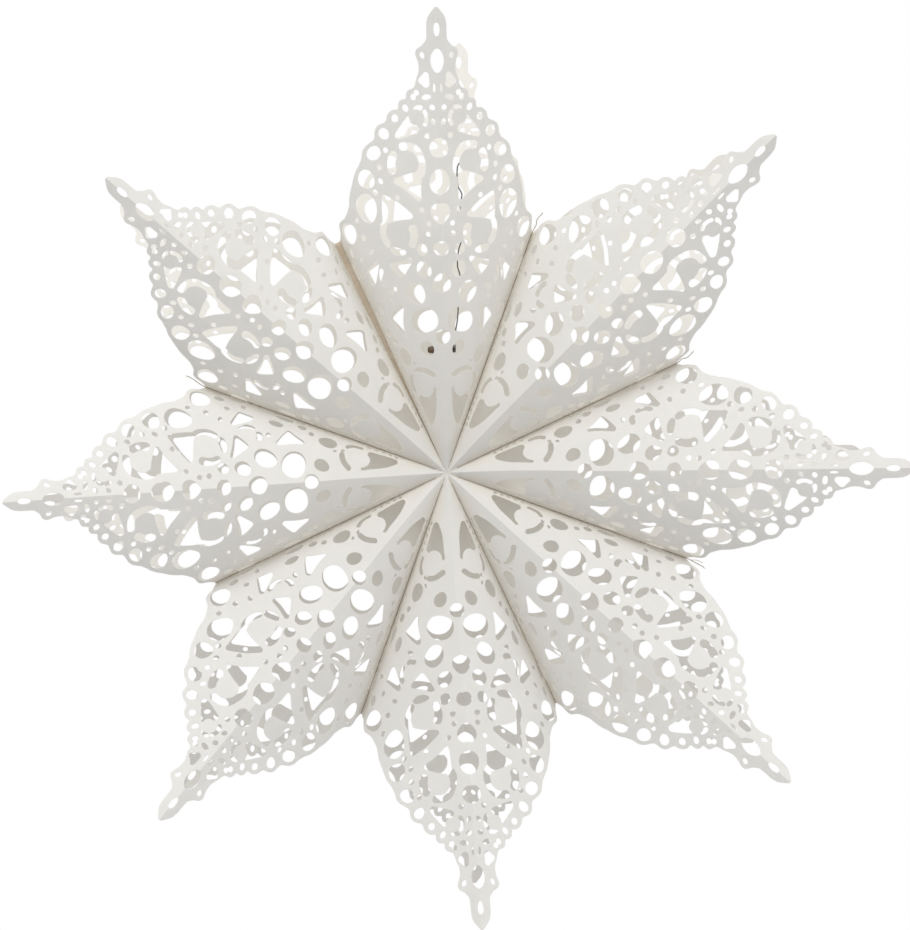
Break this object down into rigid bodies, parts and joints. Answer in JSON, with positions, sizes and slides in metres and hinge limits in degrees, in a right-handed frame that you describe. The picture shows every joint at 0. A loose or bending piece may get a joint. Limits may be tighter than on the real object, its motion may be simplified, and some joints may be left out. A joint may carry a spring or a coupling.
{
  "type": "folding paper star",
  "caption": "Hanging paper snowflake star of hollow lace-cut points glued in a ring, which folds up like a fan when its end faces part.",
  "frame": {"origin": "centre of the star, where all its folds and seams meet, midway between front and rear", "axes": "-Y is the front of the star, +Z runs from the centre to the tip of its top point, +X is to the right seen from the front"},
  "size_m": [0.5996, 0.1986, 0.5996],
  "materials": {
    "lace_paper_front": "matte white handmade paper, slightly translucent",
    "lace_paper_rear": "matte white handmade paper, slightly translucent",
    "seam_paper": "matte, darkened by dried glue",
    "cotton_thread": "twisted cotton",
    "kraft_strip": "brown gummed paper",
    "hanger_wire": "thin dark lacquered wire",
    "hanger_toggle": "dark stained wood"
  },
  "bodies": {
    "hanger": {"hanger_wire": "hanger_wire", "hanger_toggle": "hanger_toggle"},
    "seam_0": {"first_end_margin": "seam_paper", "closing_strip": "kraft_strip"},
    "seam_1": {"glued_margin_1": "seam_paper", "seam_thread_1": "cotton_thread"},
    "seam_2": {"glued_margin_2": "seam_paper", "seam_thread_2": "cotton_thread"},
    "seam_3": {"glued_margin_3": "seam_paper", "seam_thread_3": "cotton_thread"},
    "seam_4": {"glued_margin_4": "seam_paper", "seam_thread_4": "cotton_thread"},
    "seam_5": {"glued_margin_5": "seam_paper", "seam_thread_5": "cotton_thread"},
    "seam_6": {"glued_margin_6": "seam_paper", "seam_thread_6": "cotton_thread"},
    "seam_7": {"glued_margin_7": "seam_paper", "seam_thread_7": "cotton_thread"},
    "seam_8": {"last_end_margin": "seam_paper"},
    "front_left_1": {"front_left_panel_1": "lace_paper_front"},
    "front_right_1": {"front_right_panel_1": "lace_paper_front"},
    "rear_left_1": {"rear_left_panel_1": "lace_paper_rear"},
    "rear_right_1": {"rear_right_panel_1": "lace_paper_rear"},
    "front_left_2": {"front_left_panel_2": "lace_paper_front"},
    "front_right_2": {"front_right_panel_2": "lace_paper_front"},
    "rear_left_2": {"rear_left_panel_2": "lace_paper_rear"},
    "rear_right_2": {"rear_right_panel_2": "lace_paper_rear"},
    "front_left_3": {"front_left_panel_3": "lace_paper_front"},
    "front_right_3": {"front_right_panel_3": "lace_paper_front"},
    "rear_left_3": {"rear_left_panel_3": "lace_paper_rear"},
    "rear_right_3": {"rear_right_panel_3": "lace_paper_rear"},
    "front_left_4": {"front_left_panel_4": "lace_paper_front"},
    "front_right_4": {"front_right_panel_4": "lace_paper_front"},
    "rear_left_4": {"rear_left_panel_4": "lace_paper_rear"},
    "rear_right_4": {"rear_right_panel_4": "lace_paper_rear"},
    "front_left_5": {"front_left_panel_5": "lace_paper_front"},
    "front_right_5": {"front_right_panel_5": "lace_paper_front"},
    "rear_left_5": {"rear_left_panel_5": "lace_paper_rear"},
    "rear_right_5": {"rear_right_panel_5": "lace_paper_rear"},
    "front_left_6": {"front_left_panel_6": "lace_paper_front"},
    "front_right_6": {"front_right_panel_6": "lace_paper_front"},
    "rear_left_6": {"rear_left_panel_6": "lace_paper_rear"},
    "rear_right_6": {"rear_right_panel_6": "lace_paper_rear"},
    "front_left_7": {"front_left_panel_7": "lace_paper_front"},
    "front_right_7": {"front_right_panel_7": "lace_paper_front"},
    "rear_left_7": {"rear_left_panel_7": "lace_paper_rear"},
    "rear_right_7": {"rear_right_panel_7": "lace_paper_rear"},
    "front_left_8": {"front_left_panel_8": "lace_paper_front"},
    "front_right_8": {"front_right_panel_8": "lace_paper_front"},
    "rear_left_8": {"rear_left_panel_8": "lace_paper_rear"},
    "rear_right_8": {"rear_right_panel_8": "lace_paper_rear"}
  },
  "joints": [
    {"name": "swing_on_hanger", "type": "hinge", "parent": "hanger", "child": "seam_0", "pos_m": [0, 0, 0], "axis": [0, 1, 0], "range_deg": [0, 13.6]},
    {"name": "fold_point_1", "type": "hinge", "parent": "seam_0", "child": "seam_1", "pos_m": [0, 0, 0], "axis": [0, -1, 0], "range_deg": [0, 27.2]},
    {"name": "fold_point_2", "type": "hinge", "parent": "seam_1", "child": "seam_2", "pos_m": [0, 0, 0], "axis": [0, -1, 0], "range_deg": [0, 27.2]},
    {"name": "fold_point_3", "type": "hinge", "parent": "seam_2", "child": "seam_3", "pos_m": [0, 0, 0], "axis": [0, -1, 0], "range_deg": [0, 27.2]},
    {"name": "fold_point_4", "type": "hinge", "parent": "seam_3", "child": "seam_4", "pos_m": [0, 0, 0], "axis": [0, -1, 0], "range_deg": [0, 27.2]},
    {"name": "fold_point_5", "type": "hinge", "parent": "seam_4", "child": "seam_5", "pos_m": [0, 0, 0], "axis": [0, -1, 0], "range_deg": [0, 27.2]},
    {"name": "fold_point_6", "type": "hinge", "parent": "seam_5", "child": "seam_6", "pos_m": [0, 0, 0], "axis": [0, -1, 0], "range_deg": [0, 27.2]},
    {"name": "fold_point_7", "type": "hinge", "parent": "seam_6", "child": "seam_7", "pos_m": [0, 0, 0], "axis": [0, -1, 0], "range_deg": [0, 27.2]},
    {"name": "fold_point_8", "type": "hinge", "parent": "seam_7", "child": "seam_8", "pos_m": [0, 0, 0], "axis": [0, -1, 0], "range_deg": [0, 27.2]},
    {"name": "crease_front_left_1", "type": "hinge", "parent": "seam_0", "child": "front_left_1", "pos_m": [0.00092, 0, 0.00038], "axis": [0.3827, 0, -0.9239], "range_deg": [0, 48]},
    {"name": "crease_front_right_1", "type": "hinge", "parent": "seam_1", "child": "front_right_1", "pos_m": [-0.00092, 0, 0.00038], "axis": [0.3827, 0, 0.9239], "range_deg": [0, 48]},
    {"name": "crease_rear_left_1", "type": "hinge", "parent": "seam_0", "child": "rear_left_1", "pos_m": [0.00092, 0, 0.00038], "axis": [-0.3827, 0, 0.9239], "range_deg": [0, 48]},
    {"name": "crease_rear_right_1", "type": "hinge", "parent": "seam_1", "child": "rear_right_1", "pos_m": [-0.00092, 0, 0.00038], "axis": [-0.3827, 0, -0.9239], "range_deg": [0, 48]},
    {"name": "crease_front_left_2", "type": "hinge", "parent": "seam_1", "child": "front_left_2", "pos_m": [0.00092, 0, -0.00038], "axis": [-0.3827, 0, -0.9239], "range_deg": [0, 48]},
    {"name": "crease_front_right_2", "type": "hinge", "parent": "seam_2", "child": "front_right_2", "pos_m": [-0.00038, 0, 0.00092], "axis": [0.9239, 0, 0.3827], "range_deg": [0, 48]},
    {"name": "crease_rear_left_2", "type": "hinge", "parent": "seam_1", "child": "rear_left_2", "pos_m": [0.00092, 0, -0.00038], "axis": [0.3827, 0, 0.9239], "range_deg": [0, 48]},
    {"name": "crease_rear_right_2", "type": "hinge", "parent": "seam_2", "child": "rear_right_2", "pos_m": [-0.00038, 0, 0.00092], "axis": [-0.9239, 0, -0.3827], "range_deg": [0, 48]},
    {"name": "crease_front_left_3", "type": "hinge", "parent": "seam_2", "child": "front_left_3", "pos_m": [0.00038, 0, -0.00092], "axis": [-0.9239, 0, -0.3827], "range_deg": [0, 48]},
    {"name": "crease_front_right_3", "type": "hinge", "parent": "seam_3", "child": "front_right_3", "pos_m": [0.00038, 0, 0.00092], "axis": [0.9239, 0, -0.3827], "range_deg": [0, 48]},
    {"name": "crease_rear_left_3", "type": "hinge", "parent": "seam_2", "child": "rear_left_3", "pos_m": [0.00038, 0, -0.00092], "axis": [0.9239, 0, 0.3827], "range_deg": [0, 48]},
    {"name": "crease_rear_right_3", "type": "hinge", "parent": "seam_3", "child": "rear_right_3", "pos_m": [0.00038, 0, 0.00092], "axis": [-0.9239, 0, 0.3827], "range_deg": [0, 48]},
    {"name": "crease_front_left_4", "type": "hinge", "parent": "seam_3", "child": "front_left_4", "pos_m": [-0.00038, 0, -0.00092], "axis": [-0.9239, 0, 0.3827], "range_deg": [0, 48]},
    {"name": "crease_front_right_4", "type": "hinge", "parent": "seam_4", "child": "front_right_4", "pos_m": [0.00092, 0, 0.00038], "axis": [0.3827, 0, -0.9239], "range_deg": [0, 48]},
    {"name": "crease_rear_left_4", "type": "hinge", "parent": "seam_3", "child": "rear_left_4", "pos_m": [-0.00038, 0, -0.00092], "axis": [0.9239, 0, -0.3827], "range_deg": [0, 48]},
    {"name": "crease_rear_right_4", "type": "hinge", "parent": "seam_4", "child": "rear_right_4", "pos_m": [0.00092, 0, 0.00038], "axis": [-0.3827, 0, 0.9239], "range_deg": [0, 48]},
    {"name": "crease_front_left_5", "type": "hinge", "parent": "seam_4", "child": "front_left_5", "pos_m": [-0.00092, 0, -0.00038], "axis": [-0.3827, 0, 0.9239], "range_deg": [0, 48]},
    {"name": "crease_front_right_5", "type": "hinge", "parent": "seam_5", "child": "front_right_5", "pos_m": [0.00092, 0, -0.00038], "axis": [-0.3827, 0, -0.9239], "range_deg": [0, 48]},
    {"name": "crease_rear_left_5", "type": "hinge", "parent": "seam_4", "child": "rear_left_5", "pos_m": [-0.00092, 0, -0.00038], "axis": [0.3827, 0, -0.9239], "range_deg": [0, 48]},
    {"name": "crease_rear_right_5", "type": "hinge", "parent": "seam_5", "child": "rear_right_5", "pos_m": [0.00092, 0, -0.00038], "axis": [0.3827, 0, 0.9239], "range_deg": [0, 48]},
    {"name": "crease_front_left_6", "type": "hinge", "parent": "seam_5", "child": "front_left_6", "pos_m": [-0.00092, 0, 0.00038], "axis": [0.3827, 0, 0.9239], "range_deg": [0, 48]},
    {"name": "crease_front_right_6", "type": "hinge", "parent": "seam_6", "child": "front_right_6", "pos_m": [0.00038, 0, -0.00092], "axis": [-0.9239, 0, -0.3827], "range_deg": [0, 48]},
    {"name": "crease_rear_left_6", "type": "hinge", "parent": "seam_5", "child": "rear_left_6", "pos_m": [-0.00092, 0, 0.00038], "axis": [-0.3827, 0, -0.9239], "range_deg": [0, 48]},
    {"name": "crease_rear_right_6", "type": "hinge", "parent": "seam_6", "child": "rear_right_6", "pos_m": [0.00038, 0, -0.00092], "axis": [0.9239, 0, 0.3827], "range_deg": [0, 48]},
    {"name": "crease_front_left_7", "type": "hinge", "parent": "seam_6", "child": "front_left_7", "pos_m": [-0.00038, 0, 0.00092], "axis": [0.9239, 0, 0.3827], "range_deg": [0, 48]},
    {"name": "crease_front_right_7", "type": "hinge", "parent": "seam_7", "child": "front_right_7", "pos_m": [-0.00038, 0, -0.00092], "axis": [-0.9239, 0, 0.3827], "range_deg": [0, 48]},
    {"name": "crease_rear_left_7", "type": "hinge", "parent": "seam_6", "child": "rear_left_7", "pos_m": [-0.00038, 0, 0.00092], "axis": [-0.9239, 0, -0.3827], "range_deg": [0, 48]},
    {"name": "crease_rear_right_7", "type": "hinge", "parent": "seam_7", "child": "rear_right_7", "pos_m": [-0.00038, 0, -0.00092], "axis": [0.9239, 0, -0.3827], "range_deg": [0, 48]},
    {"name": "crease_front_left_8", "type": "hinge", "parent": "seam_7", "child": "front_left_8", "pos_m": [0.00038, 0, 0.00092], "axis": [0.9239, 0, -0.3827], "range_deg": [0, 48]},
    {"name": "crease_front_right_8", "type": "hinge", "parent": "seam_8", "child": "front_right_8", "pos_m": [-0.00092, 0, -0.00038], "axis": [-0.3827, 0, 0.9239], "range_deg": [0, 48]},
    {"name": "crease_rear_left_8", "type": "hinge", "parent": "seam_7", "child": "rear_left_8", "pos_m": [0.00038, 0, 0.00092], "axis": [-0.9239, 0, 0.3827], "range_deg": [0, 48]},
    {"name": "crease_rear_right_8", "type": "hinge", "parent": "seam_8", "child": "rear_right_8", "pos_m": [-0.00092, 0, -0.00038], "axis": [0.3827, 0, -0.9239], "range_deg": [0, 48]}
  ],
  "couplings": [
    {"joint": "fold_point_2", "follows": "fold_point_1", "ratio": 1},
    {"joint": "fold_point_3", "follows": "fold_point_1", "ratio": 1},
    {"joint": "fold_point_4", "follows": "fold_point_1", "ratio": 1},
    {"joint": "fold_point_5", "follows": "fold_point_1", "ratio": 1},
    {"joint": "fold_point_6", "follows": "fold_point_1", "ratio": 1},
    {"joint": "fold_point_7", "follows": "fold_point_1", "ratio": 1},
    {"joint": "fold_point_8", "follows": "fold_point_1", "ratio": 1},
    {"joint": "swing_on_hanger", "follows": "fold_point_1", "ratio": 0.5},
    {"joint": "crease_front_left_1", "follows": "fold_point_1", "ratio": 1.75},
    {"joint": "crease_front_right_1", "follows": "fold_point_1", "ratio": 1.75},
    {"joint": "crease_rear_left_1", "follows": "fold_point_1", "ratio": 1.75},
    {"joint": "crease_rear_right_1", "follows": "fold_point_1", "ratio": 1.75},
    {"joint": "crease_front_left_2", "follows": "fold_point_1", "ratio": 1.75},
    {"joint": "crease_front_right_2", "follows": "fold_point_1", "ratio": 1.75},
    {"joint": "crease_rear_left_2", "follows": "fold_point_1", "ratio": 1.75},
    {"joint": "crease_rear_right_2", "follows": "fold_point_1", "ratio": 1.75},
    {"joint": "crease_front_left_3", "follows": "fold_point_1", "ratio": 1.75},
    {"joint": "crease_front_right_3", "follows": "fold_point_1", "ratio": 1.75},
    {"joint": "crease_rear_left_3", "follows": "fold_point_1", "ratio": 1.75},
    {"joint": "crease_rear_right_3", "follows": "fold_point_1", "ratio": 1.75},
    {"joint": "crease_front_left_4", "follows": "fold_point_1", "ratio": 1.75},
    {"joint": "crease_front_right_4", "follows": "fold_point_1", "ratio": 1.75},
    {"joint": "crease_rear_left_4", "follows": "fold_point_1", "ratio": 1.75},
    {"joint": "crease_rear_right_4", "follows": "fold_point_1", "ratio": 1.75},
    {"joint": "crease_front_left_5", "follows": "fold_point_1", "ratio": 1.75},
    {"joint": "crease_front_right_5", "follows": "fold_point_1", "ratio": 1.75},
    {"joint": "crease_rear_left_5", "follows": "fold_point_1", "ratio": 1.75},
    {"joint": "crease_rear_right_5", "follows": "fold_point_1", "ratio": 1.75},
    {"joint": "crease_front_left_6", "follows": "fold_point_1", "ratio": 1.75},
    {"joint": "crease_front_right_6", "follows": "fold_point_1", "ratio": 1.75},
    {"joint": "crease_rear_left_6", "follows": "fold_point_1", "ratio": 1.75},
    {"joint": "crease_rear_right_6", "follows": "fold_point_1", "ratio": 1.75},
    {"joint": "crease_front_left_7", "follows": "fold_point_1", "ratio": 1.75},
    {"joint": "crease_front_right_7", "follows": "fold_point_1", "ratio": 1.75},
    {"joint": "crease_rear_left_7", "follows": "fold_point_1", "ratio": 1.75},
    {"joint": "crease_rear_right_7", "follows": "fold_point_1", "ratio": 1.75},
    {"joint": "crease_front_left_8", "follows": "fold_point_1", "ratio": 1.75},
    {"joint": "crease_front_right_8", "follows": "fold_point_1", "ratio": 1.75},
    {"joint": "crease_rear_left_8", "follows": "fold_point_1", "ratio": 1.75},
    {"joint": "crease_rear_right_8", "follows": "fold_point_1", "ratio": 1.75}
  ]
}
